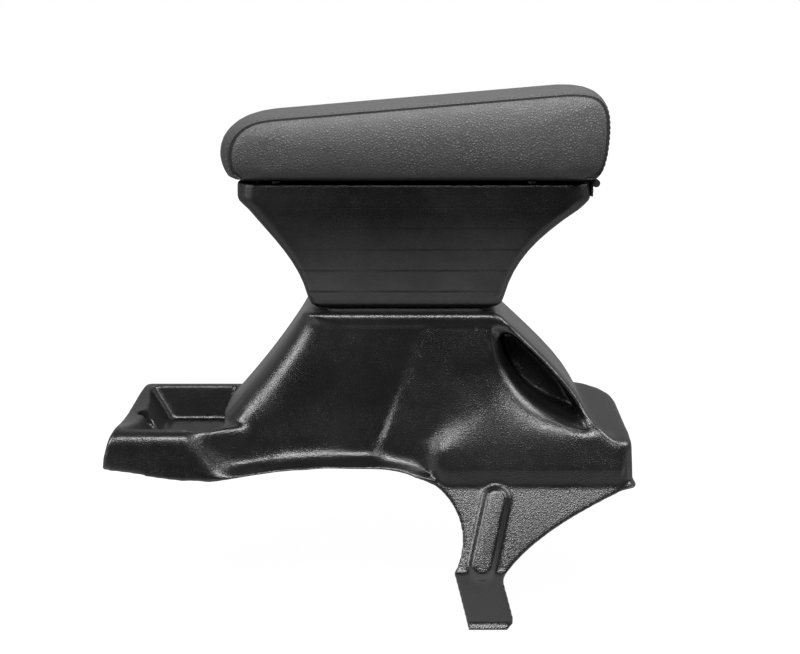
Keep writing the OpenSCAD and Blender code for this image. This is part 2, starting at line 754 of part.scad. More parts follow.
// Catch at the front of the box: a magnet in a moulded housing, and a plate under the lid

inner_front = box_wall - box_top_front;
catch_plate = 2.5;
catch_run = 11;
catch_half = catch_screw_y + 5;
catch_top = box_top - 1.2;
catch_h = 11;
magnet_run = 6;
magnet_gap = 0.2;
strike_t = 1.2;
under_lid = leaf_z + leaf_t;
module catch_housing() {
    color("#222222") difference() {
        translate([inner_front, 0, catch_top - catch_h]) union() {
            translate([0, -catch_half, 0]) cube([catch_plate, 2 * catch_half, catch_h]);
            translate([0, -magnet_w / 2 - 2, 0]) cube([catch_run, magnet_w + 4, catch_h]);
        }
        translate([inner_front + catch_plate, -magnet_w / 2 - magnet_gap, catch_top - 8])
            cube([magnet_run + 2 * magnet_gap, magnet_w + 2 * magnet_gap, 10]);
        for (y = [-1, 1]) translate([inner_front - 1, y * catch_screw_y, catch_screw_z])
            rotate([0, 90, 0]) cylinder(r = screw_r + 0.1, h = catch_plate + 2);
    }
}
module catch_magnet() {
    color("#6e6e70") translate([inner_front + catch_plate + magnet_gap, -magnet_w / 2, catch_top - 8])
        cube([magnet_run, magnet_w, under_lid - strike_t - soft_gap - catch_top + 8]);
}
module catch_screws() {
    color(steel) for (y = [-1, 1])
        translate([inner_front + catch_plate, y * catch_screw_y, catch_screw_z])
            rotate([0, 90, 0]) small_screw(catch_plate + box_wall - catch_bite - 0.2);
}
strike_x = inner_front + catch_plate + 2;
strike_half = magnet_w / 2 + 9;
strike_screw_y = magnet_w / 2 + 4.5;
strike_run = 17;
strike_screw_x = strike_x + 11;
module catch_strike() {
    color(steel) translate([0, 0, under_lid - strike_t]) difference() {
        plate(strike_x - 2, strike_x - 2 + strike_run, strike_half, strike_t, 3);
        for (y = [-1, 1]) translate([strike_screw_x, y * strike_screw_y, -1])
            cylinder(r = screw_r + 0.1, h = strike_t + 2);
    }
}
module strike_screws() {
    color(steel) for (y = [-1, 1])
        translate([strike_screw_x, y * strike_screw_y, under_lid - strike_t])
            rotate([180, 0, 0]) small_screw(strike_t + lining_t + 6);
}

// Lid: the seam outline runs clockwise from the nose's lower corner, seen from the near side

staple_d = 0.6;
lid_front = box_top_front + lid_over_front;
lid_rear = box_top_rear + lid_over_rear;
lid_z = under_lid + lining_t + staple_d;
nose_low = 6.4;
nose_up = 19.4;
nose_run = 35;
rear_run = 37;
rear_mid = 0.6;
rear_low = 11.4;
lid_top_steps = 7;
lid_bottom_steps = 6;
nose_low_curve = [[nose_low - lid_front, lid_z], [nose_low - 3.5 - lid_front, lid_z + 4.4],
    [-lid_front, lid_z + 12.5], [-lid_front, lid_z + nose_up]];
nose_up_curve = [[-lid_front, lid_z + nose_up], [-lid_front, lid_z + 0.7 * lid_nose_h],
    [11.4 - lid_front, lid_z + 0.95 * lid_nose_h], [nose_run - lid_front, lid_z + lid_nose_h]];
rear_up_curve = [[lid_rear - rear_run, lid_z + lid_rear_h], [lid_rear - 11, lid_z + lid_rear_h + 1],
    [lid_rear, lid_z + 0.96 * lid_rear_h], [lid_rear, lid_z + rear_mid * lid_rear_h]];
rear_low_curve = [[lid_rear, lid_z + rear_mid * lid_rear_h], [lid_rear, lid_z + 0.37 * lid_rear_h],
    [lid_rear - 2.4, lid_z + 3.5], [lid_rear - rear_low, lid_z]];

// Each point of the outline is [x, z, swell in x, swell in z]
function swell_to(p, dx, dz) = [p[0], p[1], dx, dz];
lid_outline = concat(
    [for (i = [0:4]) swell_to(bez(nose_low_curve, i / 4), -nose_crown, 0)],
    [for (i = [1:7]) swell_to(bez(nose_up_curve, i / 7), -nose_crown * cos(90 * i / 7),
        top_crown * sin(90 * i / 7))],
    [for (i = [1:lid_top_steps]) swell_to(lerp(nose_up_curve[3], rear_up_curve[0],
        i / lid_top_steps), 0, top_crown)],
    [for (i = [1:7]) swell_to(bez(rear_up_curve, i / 7), rear_crown * sin(90 * i / 7),
        top_crown * cos(90 * i / 7))],
    [for (i = [1:5]) swell_to(bez(rear_low_curve, i / 5), rear_crown, 0)]);
lid_bottom = [for (i = [1:lid_bottom_steps - 1]) let (t = i / lid_bottom_steps)
    swell_to(lerp(rear_low_curve[3], nose_low_curve[0], t), lerp(rear_crown, -nose_crown, t), 0)];

// The outline at a place across the lid, v from -1 at one seam to 1 at the other
function swollen(points, v) = let (k = 1 - pow(abs(v), 2.2))
    [for (p = points) [p[0] + k * p[2], p[1] + k * p[3]]];
function inward(a, b, d) = let (t = b - a) d * [t[1], -t[0]] / norm(t);
function drawn_in(ring, d) = let (n = len(ring)) [for (i = [0:n - 1])
    ring[i] + inward(ring[(i + n - 1) % n], ring[(i + 1) % n], d)];
function at_y(ring, y) = [for (p = ring) [p[0], y, p[1]]];

lid_centre = [16, lid_z + 0.48 * lid_rear_h];
pillow = [[1, 0], [0.985, 0.35], [0.95, 0.62], [0.86, 0.85], [0.65, 0.97], [0.3, 1]];
function shrunk(ring, f) = [for (p = ring) lid_centre + f * (p - lid_centre)];
closed_outline = concat(lid_outline, lid_bottom);

// The cover's top panel turns under the board at both ends
turn_under = 12;
turn_nose = [nose_low + turn_under - lid_front, lid_z];
turn_rear = [lid_rear - rear_low - turn_under, lid_z];
function clear_of_seam(y) = y - sign(y) * soft_gap / 2;
panel_v = [1, 0.86, 0.62, 0.3, 0, -0.3, -0.62, -0.86, -1];
module cover_top_panel() {
    strips = [for (v = panel_v) swollen(closed_outline, v)];
    count = len(lid_outline);
    function row(i, d) = [for (j = [0:len(panel_v) - 1]) let (p = drawn_in(strips[j], d)[i])
        [p[0], clear_of_seam(seam_half * panel_v[j]), p[1]]];
    function turned(x, d) = [for (v = panel_v) [x, clear_of_seam(seam_half * v), lid_z + d]];
    outer = concat([turned(turn_nose[0], 0)], [for (i = [0:count - 1]) row(i, 0)],
        [turned(turn_rear[0], 0)]);
    inner = concat([turned(turn_nose[0], cover_t)], [for (i = [0:count - 1]) row(i, cover_t)],
        [turned(turn_rear[0], cover_t)]);
    color(cover_colour) slab(outer, inner);
}

module side_panel() {
    seam = swollen(closed_outline, 1);
    edge = drawn_in(seam, cover_t);
    start = seam_half + soft_gap / 2;
    outer = [for (k = reversed(pillow)) at_y(shrunk(seam, k[0]), -start - side_swell * k[1])];
    inner = [for (i = [0:len(pillow) - 1]) let (k = pillow[i])
        at_y(shrunk(edge, k[0]), -start - (i == 0 ? 0 : side_swell * k[1] - 0.9 * cover_t))];
    loft(concat(outer, inner));
    translate([turn_nose[0] + 3, -start, lid_z])
        cube([turn_rear[0] - turn_nose[0] - 6, turn_under, cover_t]);
}
module cover_near_panel() {
    color(cover_colour) side_panel();
}
module cover_far_panel() {
    color(cover_colour) mirror([0, 1, 0]) side_panel();
}

board_z = lid_z + cover_t;
board_half = seam_half - 5;
board_r = 8;
board_rear = lid_rear - rear_low;
function board_plan(inset, half) = concat(
    [for (i = [0:10]) let (v = -1 + i / 5)
        [nose_low + 3 + inset - lid_front - nose_crown * (1 - pow(abs(v), 2.2)), -v * half]],
    [[nose_low + 3 + inset - lid_front + 5, -half], [board_rear - inset - board_r, -half],
    [board_rear - inset, board_r - half], [board_rear - inset, half - board_r],
    [board_rear - inset - board_r, half], [nose_low + 3 + inset - lid_front + 5, half]]);
module lid_board() {
    color("tan") difference() {
        translate([0, 0, board_z]) linear_extrude(height = board_t)
            polygon(board_plan(0, board_half));
        for (y = leaf_screws) translate([lid_screw_x, y, board_z - 1])
            cylinder(r = screw_r + 0.05, h = 7);
        for (y = [-1, 1]) translate([strike_screw_x, y * strike_screw_y, board_z - 1])
            cylinder(r = screw_r + 0.05, h = 7);
    }
}

module lid_foam() {
    foot = board_z + board_t;
    skin = cover_t + soft_gap;
    function settled(ring, y) = [for (p = ring) [p[0], y, max(p[1], foot)]];
    ends = [for (k = reversed([for (i = [2:len(pillow) - 1]) pillow[i]]))
        settled(shrunk(drawn_in(swollen(closed_outline, 1), skin), k[0]),
            -seam_half - side_swell * k[1] + skin)];
    middle = [for (v = reversed(panel_v)) settled(drawn_in(swollen(closed_outline, v), skin),
        (seam_half - 1) * v)];
    color("#d9d3bf") loft(concat(ends, middle,
        [for (r = reversed(ends)) [for (p = r) [p[0], -p[1], p[2]]]]));
}

module lid_lining() {
    color("#202022") difference() {
        translate([0, 0, under_lid]) linear_extrude(height = lining_t)
            polygon(board_plan(4, board_half - 3));
        for (y = leaf_screws) translate([lid_screw_x, y, under_lid - 1])
            cylinder(r = screw_r + 0.1, h = lining_t + 2);
        for (y = [-1, 1]) translate([strike_screw_x, y * strike_screw_y, under_lid - 1])
            cylinder(r = screw_r + 0.1, h = lining_t + 2);
    }
}

// Staples that hold the cover's turned edges to the board
staple_w = 10;
staple_leg = 6;
module staple() {
    translate([-staple_w / 2, -staple_d / 2, -staple_d]) difference() {
        cube([staple_w, staple_d, staple_leg + staple_d]);
        translate([staple_d, -1, staple_d]) cube([staple_w - 2 * staple_d, staple_d + 2, staple_leg + 1]);
    }
}
module lid_staples() {
    color(steel) {
        for (i = [0:5], side = [-1, 1])
            translate([lerp(turn_nose[0] + 20, turn_rear[0] - 20, i / 5),
                side * (seam_half - turn_under + 3.5), lid_z]) staple();
        for (y = [-40, 40], x = [turn_nose[0] - 4, turn_rear[0] + 4])
            translate([x, y, lid_z]) rotate([0, 0, 90]) staple();
    }
}

buffer_r = 3.5;
buffer_inset = 0.25 * box_top_front;
module lid_buffers() {
    color("#111111")
        for (x = [buffer_inset - box_top_front, box_top_rear - 1.5 * buffer_inset], side = [-1, 1])
        translate([x, side * (box_top_half - box_wall / 2 - 0.5), box_top + soft_gap])
            cylinder(r = buffer_r, h = under_lid - box_top - soft_gap);
}

base_shell();
front_fixing_screw();
neck_stiffener();
box_spacer();
box_shell();
box_floor_mat();
box_bolts();
box_washers();
box_nuts();
hinge_box_leaf();
hinge_box_screws();
hinge_pin();
hinge_lid_leaf();
hinge_lid_screws();
catch_housing();
catch_magnet();
catch_screws();
catch_strike();
strike_screws();
lid_board();
lid_foam();
cover_top_panel();
cover_near_panel();
cover_far_panel();
lid_lining();
lid_staples();
lid_buffers();
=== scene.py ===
# Car centre armrest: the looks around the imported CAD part.
# Every piece is in metres, in the CAD part's own frame.
import json
import math

import bmesh
import bpy
from mathutils import Matrix, Vector

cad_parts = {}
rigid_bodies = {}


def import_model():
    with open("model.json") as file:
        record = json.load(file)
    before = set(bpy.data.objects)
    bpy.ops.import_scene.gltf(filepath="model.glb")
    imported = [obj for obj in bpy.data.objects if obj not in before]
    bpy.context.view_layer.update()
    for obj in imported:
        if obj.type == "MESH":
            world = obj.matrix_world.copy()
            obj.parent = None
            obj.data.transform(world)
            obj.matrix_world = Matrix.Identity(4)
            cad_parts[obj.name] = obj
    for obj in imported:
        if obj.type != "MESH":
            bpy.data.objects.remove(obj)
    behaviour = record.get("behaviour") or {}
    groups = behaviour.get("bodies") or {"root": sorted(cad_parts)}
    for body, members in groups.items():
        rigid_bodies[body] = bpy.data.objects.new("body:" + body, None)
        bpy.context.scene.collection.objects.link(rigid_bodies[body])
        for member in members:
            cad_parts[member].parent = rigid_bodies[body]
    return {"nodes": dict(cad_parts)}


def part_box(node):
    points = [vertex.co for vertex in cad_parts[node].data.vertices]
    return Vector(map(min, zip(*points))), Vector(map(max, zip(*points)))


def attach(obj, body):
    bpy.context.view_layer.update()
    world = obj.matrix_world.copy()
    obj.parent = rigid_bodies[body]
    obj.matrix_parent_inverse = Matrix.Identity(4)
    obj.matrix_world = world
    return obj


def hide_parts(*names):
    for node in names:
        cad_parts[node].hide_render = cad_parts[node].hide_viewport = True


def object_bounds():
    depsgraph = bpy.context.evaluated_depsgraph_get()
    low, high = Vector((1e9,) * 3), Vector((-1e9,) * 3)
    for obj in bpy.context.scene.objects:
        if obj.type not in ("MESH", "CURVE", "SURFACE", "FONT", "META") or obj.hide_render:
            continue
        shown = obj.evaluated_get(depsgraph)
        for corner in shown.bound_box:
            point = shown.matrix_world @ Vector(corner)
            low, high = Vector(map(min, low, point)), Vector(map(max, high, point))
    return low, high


mm = 0.001
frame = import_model()
cadLow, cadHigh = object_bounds()
nodes = frame["nodes"]
print("frame loaded:", len(nodes), "nodes")


# Working with objects and selections

def deselectAll():
    for thing in bpy.context.selected_objects:
        thing.select_set(False)


def makeActive(thing):
    deselectAll()
    thing.select_set(True)
    bpy.context.view_layer.objects.active = thing


def applyModifier(thing, kind, **settings):
    makeActive(thing)
    modifier = thing.modifiers.new(kind.lower(), kind)
    for key, value in settings.items():
        setattr(modifier, key, value)
    bpy.ops.object.modifier_apply(modifier=modifier.name)


def copyNodes(name, *cadNodes):
    # One merged copy of some CAD nodes, as a new object at the origin
    deselectAll()
    copies = []
    for cadNode in cadNodes:
        twin = nodes[cadNode].copy()
        twin.data = nodes[cadNode].data.copy()
        twin.parent = None
        for key in list(twin.keys()):
            del twin[key]
        bpy.context.scene.collection.objects.link(twin)
        copies.append(twin)
    for twin in copies:
        twin.select_set(True)
    bpy.context.view_layer.objects.active = copies[0]
    if len(copies) > 1:
        bpy.ops.object.join()
    piece = bpy.context.view_layer.objects.active
    piece.name = name
    piece.data.name = name
    piece.data.materials.clear()
    bpy.ops.object.mode_set(mode="EDIT")
    bpy.ops.mesh.select_all(action="SELECT")
    bpy.ops.mesh.remove_doubles(threshold=0.02 * mm)
    bpy.ops.object.mode_set(mode="OBJECT")
    return piece


def keepLargestShell(piece):
    makeActive(piece)
    bpy.ops.object.mode_set(mode="EDIT")
    bpy.ops.mesh.select_all(action="DESELECT")
    bpy.ops.object.mode_set(mode="OBJECT")
    far = max(piece.data.vertices, key=lambda v: v.co.length)
    far.select = True
    bpy.ops.object.mode_set(mode="EDIT")
    bpy.ops.mesh.select_linked()
    bpy.ops.mesh.select_all(action="INVERT")
    bpy.ops.mesh.delete(type="VERT")
    bpy.ops.object.mode_set(mode="OBJECT")


def countTriangles(piece):
    return sum(len(polygon.vertices) - 2 for polygon in piece.data.polygons)


def thinTo(piece, triangles):
    count = countTriangles(piece)
    if count > triangles:
        applyModifier(piece, "DECIMATE", ratio=triangles / count)
    print("  ", piece.name, "has", countTriangles(piece), "triangles")


def smoothOut(piece, turns, **settings):
    applyModifier(piece, "SMOOTH", factor=0.5, iterations=turns, **settings)


def remesh(piece, voxel):
    applyModifier(piece, "REMESH", mode="VOXEL", voxel_size=voxel, adaptivity=0)


def fade(value, low, high, width):
    # 1 between low and high, falling to 0 over the width outside them
    return max(0.0, min(1.0, (value - low) / width + 1.0, (high - value) / width + 1.0))


def softenRegion(piece, region):
    # Draws the edges inside a box out to wide radii and leaves the free rims outside it alone
    group = piece.vertex_groups.new(name="region")
    low, high, width = region["low"], region["high"], region["fade"]
    for vertex in piece.data.vertices:
        weight = min(fade(vertex.co[axis], low[axis] * mm, high[axis] * mm, width * mm)
            for axis in range(3))
        if weight > 0:
            group.add([vertex.index], weight, "REPLACE")
    smoothOut(piece, region["turns"], vertex_group="region")
    piece.vertex_groups.remove(piece.vertex_groups["region"])


def fillAboveBlock(piece, wall):
    # Carries the slope of the rear block on up to the neck wall, so that the near side is one face
    for vertex in piece.data.vertices:
        x, y, z = (value / mm for value in vertex.co)
        plane = wall["foot"] + (z - wall["footZ"]) * wall["lean"]
        neck = wall["neckFoot"] + (z - wall["footZ"]) * wall["neckLean"]
        ridge = wall["ridgeZ"] + (x - wall["ridgeX"]) * wall["ridgeRise"]
        above = max(0.0, min(1.0, (z - ridge) / wall["blend"] + 0.5))
        push = max(0.0, neck - plane) * above * fade(x, *wall["span"])
        depth = y - plane
        if push <= 0 or depth < 0 or depth > push + wall["reach"]:
            continue
        body = push + wall["sheet"]
        if depth < body:
            depth = max(0.0, depth - push)
        else:
            depth = wall["sheet"] + (depth - body) * (1 + push / (wall["reach"] - wall["sheet"]))
        vertex.co.y = (plane + depth) * mm


def formedSheet(name, cadNode, settings):
    # A sheet part as it comes off the mould: the CAD shell with every edge drawn soft
    piece = copyNodes(name, cadNode)
    remesh(piece, settings["voxel"])
    if "wall" in settings:
        fillAboveBlock(piece, settings["wall"])
    for region in settings.get("regions", []):
        softenRegion(piece, region)
    smoothOut(piece, settings["softness"])
    thinTo(piece, settings["triangles"])
    makeActive(piece)
    bpy.ops.object.shade_smooth()
    return piece


# Node groups and materials

def newGroup(name, inputs, outputs):
    group = bpy.data.node_groups.new(name, "ShaderNodeTree")
    for label, kind, value in inputs:
        socket = group.interface.new_socket(label, in_out="INPUT", socket_type=kind)
        if value is not None:
            socket.default_value = value
    for label, kind in outputs:
        group.interface.new_socket(label, in_out="OUTPUT", socket_type=kind)
    return group, group.nodes.new("NodeGroupInput"), group.nodes.new("NodeGroupOutput")


def addNode(tree, kind, **settings):
    node = tree.nodes.new(kind)
    for key, value in settings.items():
        setattr(node, key, value)
    return node


def setInputs(node, **values):
    for label, value in values.items():
        node.inputs[label.replace("_", " ")].default_value = value


def math2(tree, operation, first, second):
    node = addNode(tree, "ShaderNodeMath", operation=operation)
    for index, value in enumerate((first, second)):
        if isinstance(value, (int, float)):
            node.inputs[index].default_value = value
        else:
            tree.links.new(value, node.inputs[index])
    return node.outputs[0]


def mapTo(tree, value, low, high, toLow=0.0, toHigh=1.0, smooth=False):
    node = addNode(tree, "ShaderNodeMapRange")
    node.interpolation_type = "SMOOTHSTEP" if smooth else "LINEAR"
    setInputs(node, From_Min=low, From_Max=high, To_Min=toLow, To_Max=toHigh)
    tree.links.new(value, node.inputs["Value"])
    return node.outputs["Result"]


def noise(tree, vector, scale, detail=2.0, roughness=0.5):
    node = addNode(tree, "ShaderNodeTexNoise")
    setInputs(node, Scale=scale, Detail=detail, Roughness=roughness)
    tree.links.new(vector, node.inputs["Vector"])
    return node


def buildPebbleGrain():
    # Creased pebbles, as pressed into leatherette and grained sheet
    tree, start, end = newGroup("pebble grain",
        [("Vector", "NodeSocketVector", None), ("Cells per metre", "NodeSocketFloat", 500.0),
         ("Crease", "NodeSocketFloat", 0.2), ("Wander", "NodeSocketFloat", 0.0006)],
        [("Height", "NodeSocketFloat"), ("Creases", "NodeSocketFloat")])
    wander = addNode(tree, "ShaderNodeTexNoise")
    setInputs(wander, Detail=1.0)
    tree.links.new(start.outputs["Vector"], wander.inputs["Vector"])
    half = math2(tree, "MULTIPLY", start.outputs["Cells per metre"], 0.45)
    tree.links.new(half, wander.inputs["Scale"])
    shift = addNode(tree, "ShaderNodeVectorMath", operation="SCALE")
    tree.links.new(wander.outputs["Color"], shift.inputs[0])
    tree.links.new(start.outputs["Wander"], shift.inputs["Scale"])
    moved = addNode(tree, "ShaderNodeVectorMath", operation="ADD")
    tree.links.new(start.outputs["Vector"], moved.inputs[0])
    tree.links.new(shift.outputs[0], moved.inputs[1])
    cells = addNode(tree, "ShaderNodeTexVoronoi", feature="DISTANCE_TO_EDGE")
    tree.links.new(moved.outputs[0], cells.inputs["Vector"])
    tree.links.new(start.outputs["Cells per metre"], cells.inputs["Scale"])
    rise = addNode(tree, "ShaderNodeMapRange")
    rise.interpolation_type = "SMOOTHSTEP"
    tree.links.new(cells.outputs["Distance"], rise.inputs["Value"])
    tree.links.new(start.outputs["Crease"], rise.inputs["From Max"])
    fine = addNode(tree, "ShaderNodeTexNoise")
    setInputs(fine, Detail=3.0)
    tree.links.new(start.outputs["Vector"], fine.inputs["Vector"])
    tree.links.new(math2(tree, "MULTIPLY", start.outputs["Cells per metre"], 2.2), fine.inputs["Scale"])
    patches = addNode(tree, "ShaderNodeTexNoise")
    setInputs(patches, Detail=1.0)
    tree.links.new(start.outputs["Vector"], patches.inputs["Vector"])
    tree.links.new(math2(tree, "MULTIPLY", start.outputs["Cells per metre"], 0.12), patches.inputs["Scale"])
    depth = mapTo(tree, patches.outputs["Fac"], 0.35, 0.65, 0.6, 1.0)
    pebble = math2(tree, "MULTIPLY", rise.outputs["Result"], depth)
    height = math2(tree, "ADD", pebble, math2(tree, "MULTIPLY", fine.outputs["Fac"], 0.25))
    tree.links.new(height, end.inputs["Height"])
    tree.links.new(math2(tree, "SUBTRACT", 1.0, rise.outputs["Result"]), end.inputs["Creases"])
    return tree


def buildHandling():
    # Rubbed edges, and patches where hands and cloths have been
    tree, start, end = newGroup("handling",
        [("Vector", "NodeSocketVector", None), ("Patch size", "NodeSocketFloat", 9.0),
         ("Edge", "NodeSocketFloat", 0.53)],
        [("Patches", "NodeSocketFloat"), ("Rubbed", "NodeSocketFloat")])
    broad = addNode(tree, "ShaderNodeTexNoise")
    setInputs(broad, Detail=4.0, Roughness=0.6)
    tree.links.new(start.outputs["Vector"], broad.inputs["Vector"])
    tree.links.new(start.outputs["Patch size"], broad.inputs["Scale"])
    tree.links.new(mapTo(tree, broad.outputs["Fac"], 0.3, 0.7, smooth=True), end.inputs["Patches"])
    geometry = addNode(tree, "ShaderNodeNewGeometry")
    edge = addNode(tree, "ShaderNodeMapRange")
    edge.interpolation_type = "SMOOTHSTEP"
    tree.links.new(geometry.outputs["Pointiness"], edge.inputs["Value"])
    tree.links.new(start.outputs["Edge"], edge.inputs["From Min"])
    tree.links.new(math2(tree, "ADD", start.outputs["Edge"], 0.06), edge.inputs["From Max"])
    grit = noise(tree, start.outputs["Vector"], 260.0, 3.0)
    broken = mapTo(tree, grit.outputs["Fac"], 0.35, 0.6)
    tree.links.new(math2(tree, "MULTIPLY", edge.outputs["Result"], broken), end.inputs["Rubbed"])
    return tree


pebbleGrain = buildPebbleGrain()
handling = buildHandling()


def newMaterial(name, roughness, specular=0.5, metallic=0.0):
    material = bpy.data.materials.new(name)
    material.use_nodes = True
    tree = material.node_tree
    shader = tree.nodes["Principled BSDF"]
    shader.inputs["Roughness"].default_value = roughness
    shader.inputs["Specular IOR Level"].default_value = specular
    shader.inputs["Metallic"].default_value = metallic
    coords = addNode(tree, "ShaderNodeTexCoord")
    return material, tree, shader, coords.outputs["Object"]


def mixColours(tree, factor, first, second):
    node = addNode(tree, "ShaderNodeMix", data_type="RGBA")
    tree.links.new(factor, node.inputs[0])
    for socket, colour in ((node.inputs[6], first), (node.inputs[7], second)):
        if isinstance(colour, (list, tuple)):
            socket.default_value = (*colour[:3], 1.0)
        else:
            tree.links.new(colour, socket)
    return node.outputs[2]


def addBump(tree, shader, height, distance, strength=1.0):
    bump = addNode(tree, "ShaderNodeBump")
    bump.inputs["Distance"].default_value = distance
    bump.inputs["Strength"].default_value = strength
    tree.links.new(height, bump.inputs["Height"])
    tree.links.new(bump.outputs["Normal"], shader.inputs["Normal"])
    return bump


def placeGroup(tree, group, vector, **values):
    node = addNode(tree, "ShaderNodeGroup", node_tree=group)
    tree.links.new(vector, node.inputs["Vector"])
    setInputs(node, **values)
    return node


def grainedMaterial(name, look):
    # Leatherette and grained sheet share one build and differ by their values
    material, tree, shader, vector = newMaterial(name, look["roughness"][0], look["specular"])
    grain = placeGroup(tree, pebbleGrain, vector, Cells_per_metre=look["cells"],
        Crease=look["crease"], Wander=look["wander"])
    touch = placeGroup(tree, handling, vector, Patch_size=look["patchSize"], Edge=look["edge"])
    ground = mixColours(tree, touch.outputs["Patches"], look["colour"], look["patchColour"])
    # On the cover this is painted shade, darker in the grain's creases; on the sheet the crease colour is
    # only a tone
    creased = mixColours(tree, math2(tree, "MULTIPLY", grain.outputs["Creases"], look["creaseShade"]),
        ground, look["creaseColour"])
    worn = mixColours(tree, math2(tree, "MULTIPLY", touch.outputs["Rubbed"], look["rub"]),
        creased, look["rubColour"])
    tree.links.new(worn, shader.inputs["Base Color"])
    low, high = look["roughness"]
    tree.links.new(mapTo(tree, touch.outputs["Patches"], 0.0, 1.0, low, high), shader.inputs["Roughness"])
    addBump(tree, shader, grain.outputs["Height"], look["relief"], look["strength"])
    return material


sheetLook = dict(colour=(0.0022, 0.0022, 0.0023), patchColour=(0.0036, 0.0036, 0.0038),
    creaseColour=(0.003, 0.003, 0.003), creaseShade=0.4, rub=0.4, rubColour=(0.04, 0.04, 0.042),
    roughness=(0.27, 0.34), specular=0.5, cells=560.0, crease=0.4, wander=0.0009,
    patchSize=14.0, edge=0.6, relief=0.00022, strength=0.46)
# The cover's crease, low and seam colours are painted shade: darker in the grain's creases, towards the
# underside and along the seams
coverLook = dict(colour=(0.057, 0.057, 0.0585), patchColour=(0.063, 0.063, 0.0645),
    creaseColour=(0.018, 0.018, 0.0185), creaseShade=0.7, rub=0.2, rubColour=(0.09, 0.09, 0.092),
    roughness=(0.5, 0.58), specular=0.35, cells=420.0, crease=0.5, wander=0.0022,
    patchSize=20.0, edge=0.58, relief=0.0006, strength=0.52, lowShade=1.0,
    lowShadeColour=(0.008, 0.008, 0.0084), lowRise=62.0, seamShadowColour=(0.001, 0.001, 0.001),
    seamDullness=0.4)

sheetMaterial = grainedMaterial("grained black sheet", sheetLook)
coverMaterial = grainedMaterial("grey leatherette", coverLook)


def paintSeamShadowAndLowShade(material, seamY, half, lowest):
    # Painted shade: the shadow line where two panels of the cover are drawn together, and the cover darker
    # towards its underside
    tree = material.node_tree
    shader = tree.nodes["Principled BSDF"]
    coords = addNode(tree, "ShaderNodeTexCoord")
    parts = addNode(tree, "ShaderNodeSeparateXYZ")
    tree.links.new(coords.outputs["Object"], parts.inputs[0])
    across = math2(tree, "ABSOLUTE", parts.outputs["Y"], 0.0)
    away = math2(tree, "ABSOLUTE", math2(tree, "SUBTRACT", across, seamY), 0.0)
    # Painted shadow: a dark line along each seam groove
    line = mapTo(tree, away, half * 0.85, half * 1.2, 1.0, 0.0, smooth=True)
    above = mapTo(tree, parts.outputs["Z"], lowest, lowest + 1 * mm)
    mask = math2(tree, "MULTIPLY", line, above)
    colour = shader.inputs["Base Color"].links[0].from_socket
    # Painted shade: darker towards the cover's underside, where the side panels turn away from the light
    depth = mapTo(tree, parts.outputs["Z"], lowest, lowest + coverLook["lowRise"] * mm,
        coverLook["lowShade"], 0.0, smooth=True)
    shaded = mixColours(tree, depth, colour, coverLook["lowShadeColour"])
    tree.links.new(mixColours(tree, mask, shaded, coverLook["seamShadowColour"]), shader.inputs["Base Color"])
    rough = shader.inputs["Roughness"].links[0].from_socket
    dull = math2(tree, "MULTIPLY", mask, coverLook["seamDullness"])
    tree.links.new(math2(tree, "ADD", rough, dull), shader.inputs["Roughness"])


def boxMaterial(name, look):
    # Moulded wall: finer grain, with faint level lines left by the mould, and painted shadow of the lid
    # darkening it towards its top
    material, tree, shader, vector = newMaterial(name, look["roughness"][0], look["specular"])
    grain = placeGroup(tree, pebbleGrain, vector, Cells_per_metre=look["cells"],
        Crease=look["crease"], Wander=look["wander"])
    touch = placeGroup(tree, handling, vector, Patch_size=look["patchSize"], Edge=look["edge"])
    parts = addNode(tree, "ShaderNodeSeparateXYZ")
    tree.links.new(vector, parts.inputs[0])
    waver = noise(tree, vector, look["waverScale"])
    sway = math2(tree, "MULTIPLY", waver.outputs["Fac"], look["waver"])
    level = math2(tree, "ADD", parts.outputs["Z"], sway)
    above = math2(tree, "SUBTRACT", level, look["lineStart"])
    turn = math2(tree, "FRACT", math2(tree, "DIVIDE", above, look["lineStep"]), 0.0)
    offLine = math2(tree, "ABSOLUTE", math2(tree, "SUBTRACT", turn, 0.5), 0.0)
    line = mapTo(tree, offLine, 0.0, look["lineWidth"] / look["lineStep"], 1.0, 0.0, smooth=True)
    broken = noise(tree, vector, look["breakScale"], 3.0)
    seen = math2(tree, "MULTIPLY", line, mapTo(tree, broken.outputs["Fac"], 0.3, 0.6))
    ground = mixColours(tree, touch.outputs["Patches"], look["colour"], look["patchColour"])
    lined = mixColours(tree, math2(tree, "MULTIPLY", seen, look["lineShare"]), ground, look["lineAndShadeColour"])
    worn = mixColours(tree, math2(tree, "MULTIPLY", touch.outputs["Rubbed"], look["rub"]),
        lined, look["rubColour"])
    # Painted shadow of the lid's overhang: the wall darkens towards its top
    shade = mapTo(tree, parts.outputs["Z"], look["shadeFrom"], look["shadeTo"], 0.0, look["shade"])
    tree.links.new(mixColours(tree, shade, worn, look["lineAndShadeColour"]), shader.inputs["Base Color"])
    low, high = look["roughness"]
    tree.links.new(mapTo(tree, touch.outputs["Patches"], 0.0, 1.0, low, high), shader.inputs["Roughness"])
    height = math2(tree, "SUBTRACT", math2(tree, "MULTIPLY", grain.outputs["Height"], look["grainShare"]),
        math2(tree, "MULTIPLY", seen, look["lineDepth"]))
    addBump(tree, shader, height, look["relief"], look["strength"])
    return material


boxLook = dict(colour=(0.0155, 0.0155, 0.016), patchColour=(0.0195, 0.0195, 0.02),
    rub=0.4, rubColour=(0.05, 0.05, 0.05), roughness=(0.34, 0.44), specular=0.3,
    cells=800.0, crease=0.3, wander=0.0003, patchSize=11.0, edge=0.54, relief=0.0002, strength=0.6,
    grainShare=0.5, lineDepth=0.4, lineStart=0.1605, lineStep=0.0186, lineWidth=0.0015,
    lineShare=0.9, lineAndShadeColour=(0.001, 0.001, 0.001), waver=0.0006, waverScale=30.0, breakScale=22.0,
    shadeFrom=0.162, shadeTo=0.238, shade=1.0)
boxPlastic = boxMaterial("moulded black box", boxLook)


